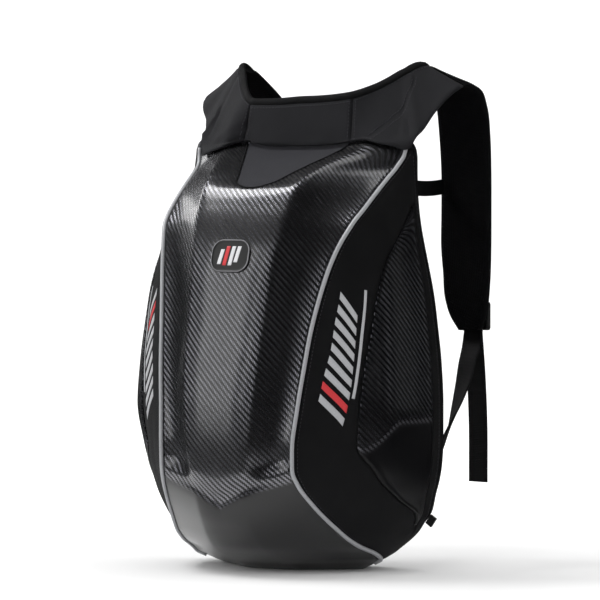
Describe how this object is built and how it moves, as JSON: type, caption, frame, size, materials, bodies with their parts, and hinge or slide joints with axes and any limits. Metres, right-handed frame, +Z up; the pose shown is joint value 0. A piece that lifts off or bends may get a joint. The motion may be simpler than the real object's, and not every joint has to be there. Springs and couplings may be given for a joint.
{
  "type": "motorcycle backpack",
  "caption": "Black motorcycle backpack with a moulded carbon-look shell, cloth sides, grey piping, a padded shoulder yoke and padded straps.",
  "frame": {"origin": "on the floor under the middle of the flat base, left to right, about 25 mm in front of the back plane", "axes": "+Z up with the bag standing on its base, -Y towards the moulded front, +Y towards the wearer, +X to the bag's left-hand side as worn"},
  "size_m": [0.306, 0.298, 0.494],
  "materials": {
    "moulded_shell": "carbon twill film over moulded foam, semi-gloss",
    "body_cloth": "matte dense nylon",
    "neoprene": "matte stretch cloth over foam",
    "spacer_mesh": "matte spacer mesh",
    "reflective_trim": "light grey reflective tape",
    "webbing": "matte polypropylene webbing and binding tape",
    "hard_plastic": "moulded nylon"
  },
  "bodies": {
    "root": {"front_shell": "moulded_shell", "top_inset": "spacer_mesh", "emblem_plate": "hard_plastic", "edge_binding": "webbing", "back_panel": "spacer_mesh", "yoke_centre": "neoprene", "neck_binding": "webbing", "piping_left": "reflective_trim", "piping_right": "reflective_trim", "side_panel_left": "body_cloth", "side_panel_right": "body_cloth", "side_shell_left": "moulded_shell", "side_shell_right": "moulded_shell", "gusset_left": "body_cloth", "gusset_right": "body_cloth", "yoke_wing_left": "neoprene", "yoke_wing_right": "neoprene", "strap_left": "spacer_mesh", "strap_right": "spacer_mesh", "stabiliser_left": "webbing", "stabiliser_right": "webbing", "ladder_lock_left": "hard_plastic", "ladder_lock_right": "hard_plastic", "adjuster_left": "webbing", "adjuster_right": "webbing", "tail_left": "webbing", "tail_right": "webbing", "edge_tab_left": "webbing", "edge_tab_right": "webbing"}
  },
  "joints": []
}
